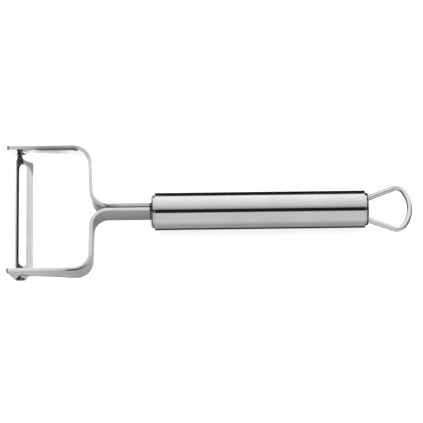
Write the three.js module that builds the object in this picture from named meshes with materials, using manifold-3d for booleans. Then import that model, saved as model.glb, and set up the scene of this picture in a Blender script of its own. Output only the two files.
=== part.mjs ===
// A y-peeler: a tubular steel handle, a fork of two bent strips, a slotted swivel blade and a wire loop.
// Millimetres, +Z up. X runs along the handle with the blade at -X, and Y runs across the fork.
// The pieces are drawn with x = 0 at the tube's front end and z = 0 on the handle's axis.

import * as THREE from 'three';
import { mergeVertices } from 'three/addons/utils/BufferGeometryUtils.js';
import Module from 'manifold-3d';

const wasm = await Module();
wasm.setup();

// Handle
const TUBE_DIAMETER = 16;
const TUBE_WALL = 0.8;
const TUBE_LENGTH = 90.4;
const CAP_DOME = 1.7; // how far a cap stands out of the tube
const CAP_SPIGOT = 6; // how far a cap reaches into the tube
const TUBE_CLEARANCE = 0.15; // round what sits in the tube

// Fork strips
const STRIP_THICKNESS = 1.6;
const STRIP_WIDTH = 10;
const STRIP_RISE = 0.3; // the strip's middle above the handle's axis
const STRIP_GAP = 0.3; // between the two strips
const STEM_LENGTH = 18.1; // straight part in front of the handle
const STEM_BEND = 7.5; // bend radii are to the middle of the strip
const CORNER_BEND = 7.5;
const LEG_LEAN = 1.8; // degrees that the yoke's legs lean forward
const FORK_WIDTH = 59.4; // over the outer faces of the arms
const ARM_LENGTH = 28.2; // from the corner bend to the tip
const ARM_DEPTH = 6.8; // at the corner bend
const NECK_DEPTH = 4.6; // at the narrowest place, behind the ear
const NECK_FROM_PIVOT = 3.6;
const EAR_DEPTH = 8.4;
const EAR_FOOT = 3.6; // length of the ear's flat lower edge
const TIP_DEPTH = 1.2;
const EAR_CORNER = 0.7; // rounding of the ear's corners

// Tangs in the handle
const TANG_LENGTH = 38;
const TANG_CLEARANCE = 0.15;
const CORE_END = 4; // core beyond the tangs
const CORE_GAP = 0.3; // between the core and the front cap
const RIVET_DIAMETER = 3;
const RIVET_CLEARANCE = 0.1;
const RIVET_FROM_END = 8;
const RIVET_SPACING = 16;

// Blade and its pivot
const PIVOT_FROM_TIP = 5.85;
const PIVOT_DEPTH = 4.8; // below the strips' upper edges
const BLADE_THICKNESS = 0.5;
const BLADE_SETBACK = 0.95; // from the ear's inner face to the blade's body
const BRIDGE_WIDTH = 2.95; // sheet left at each end of the slot
const CUTTER_WIDTH = 1.9;
const SLOT_WIDTH = 3;
const GUARD_WIDTH = 3.1;
const ARCH_RADIUS = 14; // of the blade's upper face, across its width
const BLADE_DROP = 1.8; // from the pivot down to the top of the arch
const BEVEL_WIDTH = 1.3; // ground on the cutter, along the slot
const EDGE_THICKNESS = 0.1;
const GUARD_CORNER = 1.6;
const CUTTER_CORNER = 0.6;
const SHOULDER_WIDTH = 2.9; // tab behind each trunnion
const SHOULDER_CLEARANCE = 0.5; // from the tab to the ear
const TRUNNION_HALF_ANGLE = 24; // degrees, of the folded ridge
const TRUNNION_PROUD = 1; // beyond the ear's outer face
const SWING = 15; // degrees the blade turns each way from level
const STOP_CLEARANCE = 2; // degrees left at the stops
const PIVOT_CLEARANCE = 0.25;

// Hanging loop
const WIRE_DIAMETER = 2.3;
const LEG_OFFSET = 5.3; // from the handle's axis to a leg, at the rear cap's face
const LEG_SPLAY = 21.3; // degrees
const LOOP_HALF_WIDTH = 9.8; // to the middle of the wire
const LOOP_BEND = 3.2;
const LOOP_BOW = 14; // radius of the rear bow
const LEG_END_GAP = 0.5; // from a leg's end to the cap's inner face
const WIRE_CLEARANCE = 0.15;

// How finely round shapes are faceted
const TURN_SEGMENTS = 36;
const CURVE_SEGMENTS = 10;
const DOME_STEPS = 8;
const DOME_POWER = 12; // how full the dome is towards its rim
const WIRE_STEPS = 96;
const WIRE_SIDES = 12;
const DRILL_SIDES = 24;
const RIVET_SIDES = 24;
const WELD = 1e-4;
const CUT_MARGIN = 1; // how far a cutting shape reaches past what it cuts

const radians = THREE.MathUtils.degToRad;

// Derived places, shared by the pieces that meet there
const tubeRadius = TUBE_DIAMETER / 2;
const boreRadius = tubeRadius - TUBE_WALL;
const innerRadius = boreRadius - TUBE_CLEARANCE;
const stripTop = STRIP_RISE + STRIP_WIDTH / 2;
const stripBottom = STRIP_RISE - STRIP_WIDTH / 2;
const lean = radians(LEG_LEAN);
const tangMiddle = (STRIP_GAP + STRIP_THICKNESS) / 2;
const armMiddle = (FORK_WIDTH - STRIP_THICKNESS) / 2;
const stemEnd = -CAP_DOME - STEM_LENGTH;
const bendRise = (STEM_BEND + CORNER_BEND) * (1 - Math.sin(lean));
const legLength = (armMiddle - tangMiddle - bendRise) / Math.cos(lean);
const armStart = stemEnd - (STEM_BEND + CORNER_BEND) * Math.cos(lean) - legLength * Math.sin(lean);
const tip = armStart - ARM_LENGTH;
const pivot = new THREE.Vector3(tip + PIVOT_FROM_TIP, 0, stripTop - PIVOT_DEPTH);
const earInner = FORK_WIDTH / 2 - STRIP_THICKNESS;
const bladeDepth = BLADE_DROP + BLADE_THICKNESS;
const bladeHalf = earInner - BLADE_SETBACK;
const slotHalf = bladeHalf - BRIDGE_WIDTH;
const slotRadius = SLOT_WIDTH / 2;
const rivetPlaces = [TANG_LENGTH - RIVET_FROM_END - RIVET_SPACING, TANG_LENGTH - RIVET_FROM_END];

// A closed mesh as a solid that can be joined and cut
function solidFrom(geometry) {
  geometry.deleteAttribute('normal');
  geometry.deleteAttribute('uv');
  const merged = mergeVertices(geometry, WELD);
  const corners = merged.index.array;
  const kept = [];
  for (let i = 0; i < corners.length; i += 3) {
    const [a, b, c] = corners.slice(i, i + 3);
    if (a !== b && b !== c && c !== a) kept.push(a, b, c);
  }
  return new wasm.Manifold(new wasm.Mesh({
    numProp: 3,
    vertProperties: Float32Array.from(merged.attributes.position.array),
    triVerts: Uint32Array.from(kept),
  }));
}

function geometryFrom(solid) {
  const mesh = solid.getMesh();
  const geometry = new THREE.BufferGeometry();
  geometry.setAttribute('position', new THREE.BufferAttribute(mesh.vertProperties, 3));
  geometry.setIndex(new THREE.BufferAttribute(mesh.triVerts, 1));
  geometry.computeVertexNormals();
  return geometry;
}

// An outline in the XY plane, made solid between two heights
function flatPlate(outline, bottom, top) {
  const settings = { depth: top - bottom, bevelEnabled: false, curveSegments: CURVE_SEGMENTS };
  const geometry = new THREE.ExtrudeGeometry(outline, settings);
  geometry.translate(0, 0, bottom);
  return solidFrom(geometry);
}

// An outline in the XZ plane, made solid between two places along Y
function sideSlab(outline, from, to) {
  const settings = { depth: to - from, bevelEnabled: false, curveSegments: CURVE_SEGMENTS };
  const geometry = new THREE.ExtrudeGeometry(outline, settings);
  geometry.rotateX(Math.PI / 2);
  geometry.translate(0, to, 0);
  return solidFrom(geometry);
}

// A profile of (radius, place along X), turned about the handle's axis. The facets touch the round surface,
// and one of them faces down, so that the part lies still.
function turned(profile) {
  const halfFacet = Math.PI / TURN_SEGMENTS;
  const corners = profile.map(({ x, y }) => new THREE.Vector2(x / Math.cos(halfFacet), y));
  const geometry = new THREE.LatheGeometry(corners, TURN_SEGMENTS, halfFacet);
  geometry.rotateZ(-Math.PI / 2);
  return solidFrom(geometry);
}

function box(from, to) {
  const size = to.clone().sub(from);
  const geometry = new THREE.BoxGeometry(size.x, size.y, size.z);
  const middle = from.clone().add(to).divideScalar(2);
  geometry.translate(middle.x, middle.y, middle.z);
  return solidFrom(geometry);
}

// A closed outline through corners [x, y, rounding], with a curve at each rounded corner
function roundedOutline(corners) {
  const shape = new THREE.Shape();
  const count = corners.length;
  const point = (i) => new THREE.Vector2(...corners[(i + count) % count]);
  for (let i = 0; i < count; i += 1) {
    const here = point(i);
    const rounding = corners[i][2] ?? 0;
    const before = here.clone().add(point(i - 1).sub(here).setLength(rounding));
    const after = here.clone().add(point(i + 1).sub(here).setLength(rounding));
    if (i === 0) shape.moveTo(before.x, before.y);
    else shape.lineTo(before.x, before.y);
    if (rounding > 0) shape.quadraticCurveTo(here.x, here.y, after.x, after.y);
  }
  shape.closePath();
  return shape;
}

// Points on an arc, in order
function arcPoints(centre, radius, from, to) {
  return Array.from({ length: CURVE_SEGMENTS + 1 }, (_, i) => {
    const angle = from + ((to - from) * i) / CURVE_SEGMENTS;
    return new THREE.Vector2(centre.x + radius * Math.cos(angle), centre.y + radius * Math.sin(angle));
  });
}

function makeTube() {
  const ring = [
    [boreRadius, 0], [tubeRadius, 0], [tubeRadius, TUBE_LENGTH], [boreRadius, TUBE_LENGTH], [boreRadius, 0],
  ];
  return turned(ring.map(([radius, along]) => new THREE.Vector2(radius, along)));
}

// How far a cap's dome stands out of the tube at a radius
function domeHeight(radius) {
  return CAP_DOME * (1 - (radius / innerRadius) ** DOME_POWER);
}

// A domed plug, pressed into the tube's rear end
function makePlug() {
  const profile = [new THREE.Vector2(0, -CAP_SPIGOT), new THREE.Vector2(innerRadius, -CAP_SPIGOT)];
  for (let i = DOME_STEPS; i >= 0; i -= 1) {
    const radius = innerRadius * Math.sin((Math.PI / 2) * (i / DOME_STEPS));
    profile.push(new THREE.Vector2(radius, domeHeight(radius)));
  }
  return turned(profile);
}

// The room that both tangs need, from one place along X to another
function tangRoom(from, to) {
  const half = STRIP_GAP / 2 + STRIP_THICKNESS + TANG_CLEARANCE;
  const low = new THREE.Vector3(from, -half, stripBottom - TANG_CLEARANCE);
  const high = new THREE.Vector3(to, half, stripTop + TANG_CLEARANCE);
  return box(low, high);
}

function makeFrontCap() {
  return makePlug().rotate([0, 0, 180]).subtract(tangRoom(-CAP_DOME - CUT_MARGIN, CAP_SPIGOT + CUT_MARGIN));
}

function makeTangCore() {
  const from = CAP_SPIGOT + CORE_GAP;
  const to = TANG_LENGTH + CORE_END;
  const profile = [[0, from], [innerRadius, from], [innerRadius, to], [0, to]];
  const body = turned(profile.map(([radius, along]) => new THREE.Vector2(radius, along)));
  return body.subtract(tangRoom(from - CUT_MARGIN, TANG_LENGTH + TANG_CLEARANCE));
}

function makeRivet(place, radius, length) {
  const geometry = new THREE.CylinderGeometry(radius, radius, length, RIVET_SIDES);
  geometry.translate(place, 0, STRIP_RISE);
  return solidFrom(geometry);
}

// One strip seen from above: tang, stem bend, yoke leg, corner bend and arm
function stripPlan(side) {
  const stemCentre = new THREE.Vector2(stemEnd, tangMiddle + STEM_BEND);
  const cornerCentre = new THREE.Vector2(armStart, armMiddle - CORNER_BEND);
  const half = STRIP_THICKNESS / 2;
  const edge = (offset) => [
    new THREE.Vector2(TANG_LENGTH, tangMiddle + offset),
    ...arcPoints(stemCentre, STEM_BEND - offset, -Math.PI / 2, -Math.PI + lean),
    ...arcPoints(cornerCentre, CORNER_BEND + offset, lean, Math.PI / 2),
    new THREE.Vector2(tip, armMiddle + offset),
  ];
  const outline = [...edge(half), ...edge(-half).reverse()];
  return new THREE.Shape(outline.map((point) => new THREE.Vector2(point.x, side * point.y)));
}

// One strip seen from the side: straight upper edge, lower edge narrowing to the neck, flared ear
function stripSide() {
  const legRear = stemEnd - STEM_BEND + STRIP_THICKNESS;
  const easing = (legRear - armStart) / 2;
  const neck = pivot.x + NECK_FROM_PIVOT;
  const foot = stripTop - EAR_DEPTH;
  return roundedOutline([
    [neck, stripTop - NECK_DEPTH, EAR_CORNER],
    [pivot.x + EAR_FOOT / 2, foot, EAR_CORNER],
    [pivot.x - EAR_FOOT / 2, foot, EAR_CORNER],
    [tip, stripTop - TIP_DEPTH, EAR_CORNER],
    [tip, stripTop],
    [TANG_LENGTH, stripTop],
    [TANG_LENGTH, stripBottom],
    [legRear, stripBottom, easing],
    [armStart, stripTop - ARM_DEPTH, easing],
  ]);
}

// The fan-shaped hole that the trunnion's ridge rocks in
function fanHole() {
  const spread = radians(TRUNNION_HALF_ANGLE + SWING + STOP_CLEARANCE);
  const ridgeLength = bladeDepth / Math.cos(radians(TRUNNION_HALF_ANGLE));
  const radius = ridgeLength + 2 * PIVOT_CLEARANCE;
  const apex = new THREE.Vector2(pivot.x, pivot.z + PIVOT_CLEARANCE);
  const down = -Math.PI / 2;
  return new THREE.Shape([apex, ...arcPoints(apex, radius, down - spread, down + spread)]);
}

function makeForkStrip(side) {
  const reach = FORK_WIDTH;
  const lowest = Math.min(stripBottom, stripTop - EAR_DEPTH);
  let strip = flatPlate(stripPlan(side), lowest - CUT_MARGIN, stripTop + CUT_MARGIN)
    .intersect(sideSlab(stripSide(), -reach, reach))
    .subtract(sideSlab(fanHole(), -reach, reach));
  for (const place of rivetPlaces) {
    strip = strip.subtract(makeRivet(place, RIVET_DIAMETER / 2 + RIVET_CLEARANCE, reach));
  }
  return strip;
}

// The blade's places are measured from its pivot: x = 0 is the cutting edge, z = 0 the trunnions' ridge
const archMiddle = slotRadius;
const archCentre = new THREE.Vector2(archMiddle, -BLADE_DROP - ARCH_RADIUS);
const guardEdge = SLOT_WIDTH + GUARD_WIDTH;

function archedSheet() {
  const reach = ARCH_RADIUS - BLADE_THICKNESS;
  const from = Math.PI / 2 + Math.asin((archMiddle + CUTTER_WIDTH + CUT_MARGIN) / reach);
  const to = Math.PI / 2 - Math.asin((guardEdge - archMiddle + CUT_MARGIN) / reach);
  const upper = arcPoints(archCentre, ARCH_RADIUS, from, to);
  const lower = arcPoints(archCentre, ARCH_RADIUS - BLADE_THICKNESS, to, from);
  return sideSlab(new THREE.Shape([...upper, ...lower]), -earInner, earInner);
}

// The blade seen from above, with a shoulder tab at each end and the slot
function bladePlan() {
  const shoulder = earInner - SHOULDER_CLEARANCE;
  const tab = SHOULDER_WIDTH / 2;
  const upper = [
    [guardEdge, bladeHalf, GUARD_CORNER],
    [tab, bladeHalf],
    [tab, shoulder],
    [-tab, shoulder],
    [-tab, bladeHalf],
    [-CUTTER_WIDTH, bladeHalf, CUTTER_CORNER],
  ];
  const lower = upper.map(([x, y, rounding]) => [x, -y, rounding]).reverse();
  const plan = roundedOutline([...upper, ...lower]);
  const slotEnd = slotHalf - slotRadius;
  const slot = new THREE.Path();
  slot.absarc(slotRadius, slotEnd, slotRadius, 0, Math.PI);
  slot.absarc(slotRadius, -slotEnd, slotRadius, Math.PI, 2 * Math.PI);
  plan.holes.push(slot);
  return plan;
}

// The wedge that is ground off the cutter along the slot
function bevelWedge() {
  const top = (x) => archCentre.y + Math.sqrt(ARCH_RADIUS ** 2 - (x - archMiddle) ** 2);
  const edge = top(0) - BLADE_THICKNESS + EDGE_THICKNESS;
  const slope = (edge - top(-BEVEL_WIDTH)) / BEVEL_WIDTH;
  const wedge = new THREE.Shape([
    new THREE.Vector2(-BEVEL_WIDTH, top(-BEVEL_WIDTH)),
    new THREE.Vector2(slotRadius, edge + slope * slotRadius),
    new THREE.Vector2(slotRadius, CUT_MARGIN),
    new THREE.Vector2(-BEVEL_WIDTH, CUT_MARGIN),
  ]);
  const end = slotHalf - slotRadius;
  return sideSlab(wedge, -end, end);
}

// A folded ridge along Y: the end of the blade that turns in the ear
function trunnion(side) {
  const angle = radians(TRUNNION_HALF_ANGLE);
  const foot = bladeDepth * Math.tan(angle);
  const sole = BLADE_THICKNESS / Math.cos(angle);
  const ridge = new THREE.Shape([
    new THREE.Vector2(0, 0),
    new THREE.Vector2(foot, -bladeDepth),
    new THREE.Vector2(foot - sole, -bladeDepth),
    new THREE.Vector2(0, -BLADE_THICKNESS / Math.sin(angle)),
    new THREE.Vector2(sole - foot, -bladeDepth),
    new THREE.Vector2(-foot, -bladeDepth),
  ]);
  const inner = side * (slotHalf + BLADE_THICKNESS);
  const outer = side * (FORK_WIDTH / 2 + TRUNNION_PROUD);
  return sideSlab(ridge, Math.min(inner, outer), Math.max(inner, outer));
}

function makeBlade() {
  const sheet = archedSheet().intersect(flatPlate(bladePlan(), -ARCH_RADIUS, CUT_MARGIN));
  return sheet.subtract(bevelWedge()).add(trunnion(1)).add(trunnion(-1));
}

// An arc in the loop's plane
class LoopArc extends THREE.Curve {
  constructor(centre, radius, from, to) {
    super();
    Object.assign(this, { centre, radius, from, to });
  }

  getPoint(t, target = new THREE.Vector3()) {
    const angle = this.from + (this.to - this.from) * t;
    const x = this.centre.x + this.radius * Math.cos(angle);
    const y = this.centre.y + this.radius * Math.sin(angle);
    return target.set(x, y, 0);
  }
}

// The loop's middle line: leg, bend, bow, bend, leg
const splay = radians(LEG_SPLAY);
const legFace = TUBE_LENGTH + domeHeight(LEG_OFFSET);
const legEnd = TUBE_LENGTH - CAP_SPIGOT + LEG_END_GAP;
const bendDrop = LOOP_BEND * (1 - Math.cos(splay));
const legReach = (LOOP_HALF_WIDTH - bendDrop - LEG_OFFSET) / Math.tan(splay);
const bendPlace = legFace + legReach + LOOP_BEND * Math.sin(splay);
const bowHalf = Math.asin((LOOP_HALF_WIDTH - LOOP_BEND) / (LOOP_BOW - LOOP_BEND));
const bowCentre = bendPlace - (LOOP_BOW - LOOP_BEND) * Math.cos(bowHalf);
const loopRear = bowCentre + LOOP_BOW + WIRE_DIAMETER / 2;

function legPoint(along, side) {
  return new THREE.Vector3(along, side * (LEG_OFFSET + (along - legFace) * Math.tan(splay)), 0);
}

function makeLoop() {
  const bends = [1, -1].map((side) => new THREE.Vector2(bendPlace, side * (LOOP_HALF_WIDTH - LOOP_BEND)));
  const bendStart = bendPlace - LOOP_BEND * Math.sin(splay);
  const path = new THREE.CurvePath();
  path.add(new THREE.LineCurve3(legPoint(legEnd, 1), legPoint(bendStart, 1)));
  path.add(new LoopArc(bends[0], LOOP_BEND, Math.PI / 2 + splay, bowHalf));
  path.add(new LoopArc(new THREE.Vector2(bowCentre, 0), LOOP_BOW, bowHalf, -bowHalf));
  path.add(new LoopArc(bends[1], LOOP_BEND, -bowHalf, -Math.PI / 2 - splay));
  path.add(new THREE.LineCurve3(legPoint(bendStart, -1), legPoint(legEnd, -1)));
  const section = new THREE.Shape();
  section.absarc(0, 0, WIRE_DIAMETER / 2, 0, 2 * Math.PI);
  const settings = {
    steps: WIRE_STEPS,
    curveSegments: WIRE_SIDES / 2,
    bevelEnabled: false,
    extrudePath: path,
  };
  return solidFrom(new THREE.ExtrudeGeometry(section, settings));
}

function makeRearCap() {
  let cap = makePlug().translate([TUBE_LENGTH, 0, 0]);
  for (const side of [1, -1]) {
    const radius = WIRE_DIAMETER / 2 + WIRE_CLEARANCE;
    const length = 2 * (CAP_SPIGOT + CAP_DOME + CUT_MARGIN);
    const drill = new THREE.CylinderGeometry(radius, radius, length, DRILL_SIDES);
    drill.rotateZ(side * splay - Math.PI / 2);
    drill.translate(...legPoint(TUBE_LENGTH - CAP_SPIGOT / 2, side));
    cap = cap.subtract(solidFrom(drill));
  }
  return cap;
}

const polishedSteel = { color: 0xc8cacc, roughness: 0.12, metalness: 1 };
const stripSteel = { color: 0xc0c2c4, roughness: 0.2, metalness: 1 };
const bladeSteel = { color: 0xb4b7ba, roughness: 0.25, metalness: 1 };
const rivetSteel = { color: 0xa8abae, roughness: 0.4, metalness: 1 };
const corePlastic = { color: 0x4a4d50, roughness: 0.7, metalness: 0 };

function piece(name, solid, finish) {
  const mesh = new THREE.Mesh(geometryFrom(solid), new THREE.MeshStandardMaterial(finish));
  mesh.name = name;
  return mesh;
}

const rivetLength = 2 * STRIP_THICKNESS + STRIP_GAP;
const rivets = rivetPlaces.map((place) => makeRivet(place, RIVET_DIAMETER / 2, rivetLength));

const blade = piece('blade', makeBlade(), bladeSteel);
blade.position.copy(pivot);
blade.rotation.y = radians(SWING);

const peeler = new THREE.Group();
peeler.add(
  piece('handle_tube', makeTube(), polishedSteel),
  piece('front_cap', makeFrontCap(), polishedSteel),
  piece('rear_cap', makeRearCap(), polishedSteel),
  piece('tang_core', makeTangCore(), corePlastic),
  piece('fork_strip_left', makeForkStrip(1), stripSteel),
  piece('fork_strip_right', makeForkStrip(-1), stripSteel),
  piece('tang_rivet_front', rivets[0], rivetSteel),
  piece('tang_rivet_rear', rivets[1], rivetSteel),
  piece('hanging_loop', makeLoop(), polishedSteel),
  blade,
);

// The origin is the middle of the surface that the handle lies on
peeler.position.set(-(tip + loopRear) / 2, 0, tubeRadius);

export default peeler;
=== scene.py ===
"""A y-peeler of polished stainless steel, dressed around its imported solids."""
import math

import bmesh
import bpy
import numpy as np
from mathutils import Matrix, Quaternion, Vector


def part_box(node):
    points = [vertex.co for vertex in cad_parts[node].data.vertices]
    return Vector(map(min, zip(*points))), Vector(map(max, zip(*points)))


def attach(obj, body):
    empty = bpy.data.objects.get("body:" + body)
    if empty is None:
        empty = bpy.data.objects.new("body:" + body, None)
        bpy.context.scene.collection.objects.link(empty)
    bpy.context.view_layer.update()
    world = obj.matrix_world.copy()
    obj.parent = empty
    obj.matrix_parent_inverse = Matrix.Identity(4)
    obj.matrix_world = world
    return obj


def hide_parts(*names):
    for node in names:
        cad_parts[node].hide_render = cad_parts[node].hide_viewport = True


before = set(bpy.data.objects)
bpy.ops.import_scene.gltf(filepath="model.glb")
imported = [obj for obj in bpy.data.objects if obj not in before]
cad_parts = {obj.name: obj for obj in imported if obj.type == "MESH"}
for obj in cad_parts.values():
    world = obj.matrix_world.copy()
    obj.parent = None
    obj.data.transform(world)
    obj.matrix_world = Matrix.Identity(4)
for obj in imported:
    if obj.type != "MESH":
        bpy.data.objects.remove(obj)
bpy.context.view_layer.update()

# The solids are drawn in millimetres from the tube's front end, on the handle's axis.
MM = 0.001
tube_low, tube_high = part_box("handle_tube")
ORIGIN = np.array([tube_low.x, 0.0, (tube_low.z + tube_high.z) / 2])
BODY = "handle_and_fork"
BLADE_BODY = "swivel_blade"

# Points closer than these are one: in finished meshes in metres, in flat blanks and their cuts in millimetres
WELD = 1e-7
BLANK_WELD = 1e-4
CUT_WELD = 1e-5
TINY = 1e-6

# Handle, in millimetres
TUBE_RADIUS = (tube_high.z - tube_low.z) / 2 / MM
TUBE_BORE = 7.2
TUBE_LENGTH = 90.4
TUBE_EDGE = 0.22
CAP_DOME = 1.7
CAP_SPIGOT = 6.0
CAP_FIT = 7.05
CAP_COLLAR = 0.75
CAP_EDGE = 0.6
DOME_POWER = 12
TURN_SEGMENTS = 160
DOME_STEPS = 12

# Fork strips
STRIP_THICKNESS = 1.6
STRIP_TOP = 5.3
STRIP_BOTTOM = -4.7
STRIP_GAP = 0.3
STRIP_EDGE = 0.1
EDGE_ZONE = 1.5 * STRIP_EDGE
# A rolled edge's first and last slope at the stem, throat, arm and ear: the left strip (1), the right (-1)
EDGE_SLOPES = {
    1: [(0.16, 0.25), (0.18, 0.45), (0.165, 0.3), (0.03, 0.11)],
    -1: [(0.0, 0.105), (0.0, 0.105), (0.0, 0.105), (-0.05, 0.05)],
}
THROAT_START = 5.0
THROAT_END = 2.0
# The right strip's edge rolls the other way at its corner
CORNER_SLOPES = (0.05, 0.66)
CORNER_EASE = 4.0
CORNER_FADE = 8.0
YOKE_SPLAY = math.radians(3.7)
EAR_FLARE = math.radians(3.1)
FLARE_START = 14.0
FLARE_END = 8.0
STEM_RELIEF = 0.1
STEM_LENGTH = 18.1
STEM_BEND = 7.5
CORNER_BEND = 7.5
LEG_LEAN = math.radians(1.8)
FORK_WIDTH = 59.4
ARM_LENGTH = 28.2
ARM_DEPTH = 6.8
NECK_DEPTH = 4.6
NECK_FROM_PIVOT = 3.6
EAR_DEPTH = 8.4
EAR_FOOT = 3.6
TIP_DEPTH = 1.2
EAR_CORNER = 0.7
TANG_LENGTH = 38.0
SLOT_CLEARANCE = 0.3
BEND_STEP = math.radians(2)
CUT_STEP = 1.0
CUTS_ACROSS = 9

# Blade and its pivot
PIVOT_FROM_TIP = 5.85
PIVOT_DEPTH = 4.8
PIVOT_CLEARANCE = 0.25
HOLE_RISE = 1.2
BLADE_THICKNESS = 0.5
BLADE_EDGE = 0.08
BLADE_SETBACK = 0.95
BRIDGE_WIDTH = 2.95
CUTTER_WIDTH = 1.9
SLOT_WIDTH = 3.0
GUARD_WIDTH = 3.1
ARCH_RADIUS = 14.0
BLADE_DROP = 1.8
LIP_WIDTH = 1.25
LIP_ANGLE = math.radians(40)
LIP_SHIFT = 0.6
LIP_DROP = 0.8
LIP_FADE = (2.6, 0.6)
GUARD_CORNER = 1.6
CUTTER_CORNER = 0.6
TAB_HALF = 2.55
TAB_ROOT = 0.4
TAB_CORNER = 0.3
TAB_STEP = 0.05
FOLD_ANGLE = math.radians(28)
FOLD_START = 25.4
FOLD_END = 27.9
TRUNNION_END = 30.7
SWING = math.radians(15)
STOP_CLEARANCE = math.radians(2)
BLADE_CUTS = (-2.0, 6.0, 0.25)
END_CUT_STEP = 0.2

# Hanging loop
WIRE_RADIUS = 1.15
LEG_OFFSET = 5.3
LEG_SPLAY = math.radians(21.3)
LOOP_HALF_WIDTH = 9.8
LOOP_BEND = 3.2
LOOP_BOW = 14.0
LEG_END = 5.5
WIRE_CLEARANCE = 0.15
WIRE_SIDES = 32
WIRE_HOLE_SIDES = 40

# Painted shade and painted reflections on the steel: dark and grey tones, and places in millimetres
PAINTED_DARK = (0.06, 0.061, 0.063)
PAINTED_GREY = (0.25, 0.253, 0.257)
FINE_EASING = 0.05
ENTRY_LINE = (1.2, 2.1)
ENTRY_EASING = 0.1
TIP_LINE = (0.9, 0.4)
CREASE_DEPTH = 2.9
CREASE_SLOPE = 0.33
CREASE_HALF = 0.35
CREASE_EASING = 0.15
CREASE_STRETCH = (3.7, 0.2)
STRETCH_EASING = 0.3
LIP_MARGIN = 0.15
NECK_SPAN = (-3.0, 1.4)
NECK_START = 0.6
NECK_EASING = 0.2

# Places that the pieces share
TANG_MIDDLE = (STRIP_GAP + STRIP_THICKNESS) / 2
ARM_MIDDLE = (FORK_WIDTH - STRIP_THICKNESS) / 2
STEM_END = -CAP_DOME - STEM_LENGTH
BEND_RISE = (STEM_BEND + CORNER_BEND) * (1 - math.sin(LEG_LEAN))
LEG_LENGTH = (ARM_MIDDLE - TANG_MIDDLE - BEND_RISE) / math.cos(LEG_LEAN)
ARM_START = STEM_END - (STEM_BEND + CORNER_BEND) * math.cos(LEG_LEAN) - LEG_LENGTH * math.sin(LEG_LEAN)
TIP = ARM_START - ARM_LENGTH
PIVOT = np.array([TIP + PIVOT_FROM_TIP, 0.0, STRIP_TOP - PIVOT_DEPTH])
EAR_INNER = FORK_WIDTH / 2 - STRIP_THICKNESS
BLADE_HALF = EAR_INNER - BLADE_SETBACK
SLOT_HALF = BLADE_HALF - BRIDGE_WIDTH
BLADE_DEPTH = BLADE_DROP + BLADE_THICKNESS

# Camera, with its aim in metres
CAMERA_DISTANCE = 2.0
CAMERA_ELEVATION = math.radians(65)
CAMERA_ROLL = math.radians(0.716)
PHOTO_PIXELS = 423
PIXEL_SIZE = 0.43
FRAME_WIDTH = PHOTO_PIXELS * PIXEL_SIZE * MM
AIM = Vector((ORIGIN[0] + 0.02443, -0.0002, 0.0079))
SENSOR = 36.0

# Floor, in metres, and how much it glows for the camera and in the metal
FLOOR_HALF = 2.0
FLOOR_HEIGHT = -0.0001
FLOOR_TONE = 0.92
CAMERA_GLOW = 0.62
METAL_GLOW = 0.3

# Borders of the cards on the floor, in millimetres in the row frame: along the tool, then across it
CARD_HEIGHT = -0.05
TIP_BORDER = -90
BLADE_BORDER = -77
CORNER_BORDER = -58
YOKE_BORDER = -47
HANDLE_BORDER = -25.5
REAR_BORDER = 80
ARM_LINE = 28
INSIDE_LINE = 24.35
CORNER_LINE = 10
SEAM_LINE = 1
BLACK_LINE = -11.3
APRON_LINE = -90
FAR_LINE = 800
NEAR_LINE = -600
LOOP_CARD = ((82, 97), (-9, 5))
RIGHT_CARD = ((100, 260), (-40, 90))

# Studio dome: brightness by the angle from overhead towards the back, in degrees, and by how far sideways
DOME_STRENGTH = 1.42
DOME_SHADES = [
    (-90, 0.6), (-12, 0.58), (0, 0.58), (8, 0.62), (30, 0.76), (65, 0.96), (82.5, 1.0), (85, 0.05),
    (90, 0.03),
]
GAP_SHADES = [
    (-90, 1.0), (-36, 1.0), (-33, 0.02), (-14, 0.02), (-12, 0.47), (-6, 0.72), (0, 0.9), (8, 1.0), (90, 1.0),
]
GAP_LEFT = (-0.28, -0.12)
GAP_RIGHT = (0.6, 0.8)
SIDE_START = 0.845
SIDE_END = 0.885
SIDE_SHADE = 0.04
BACKDROP_GREY = 0.7


# Mesh helpers

def in_row(points):
    """Points in millimetres from the tube's front end, as metres in the row frame."""
    return np.asarray(points, float) * MM + ORIGIN


def step_up(value, start, end):
    """A smooth step from 0 to 1."""
    t = np.clip((value - start) / (end - start), 0, 1)
    return t * t * (3 - 2 * t)


def even_cuts(start, end):
    """Places to cut a blank from start to end, a cut step apart."""
    return np.linspace(start, end, round(abs(end - start) / CUT_STEP) + 1)


def new_mesh(name, points, faces):
    mesh = bpy.data.meshes.new(name)
    mesh.from_pydata([tuple(p) for p in points], [], faces)
    mesh.update()
    return mesh


def tidy_mesh(mesh, weld):
    """Merges doubles and turns every face outwards."""
    work = bmesh.new()
    work.from_mesh(mesh)
    bmesh.ops.remove_doubles(work, verts=work.verts, dist=weld)
    bmesh.ops.recalc_face_normals(work, faces=work.faces)
    work.to_mesh(mesh)
    work.free()


def smooth(mesh, angle):
    """Smooth shading, kept sharp where two faces meet at more than angle degrees."""
    mesh.shade_smooth()
    mesh.set_sharp_from_angle(angle=math.radians(angle))


def settled(name, mesh_or_curve, *modifiers):
    """The mesh that an object gives after its modifiers, each (type, {setting or tree input: value})."""
    helper = bpy.data.objects.new(name + "_helper", mesh_or_curve)
    bpy.context.scene.collection.objects.link(helper)
    for kind, settings in modifiers:
        modifier = helper.modifiers.new(kind, kind)
        for key, value in settings.items():
            if isinstance(modifier, bpy.types.NodesModifier) and key != "node_group":
                modifier[socket_id(modifier.node_group, key)] = value
            else:
                setattr(modifier, key, value)
    graph = bpy.context.evaluated_depsgraph_get()
    graph.update()
    mesh = bpy.data.meshes.new_from_object(helper.evaluated_get(graph), depsgraph=graph)
    mesh.name = name
    bpy.data.objects.remove(helper)
    return mesh


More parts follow.
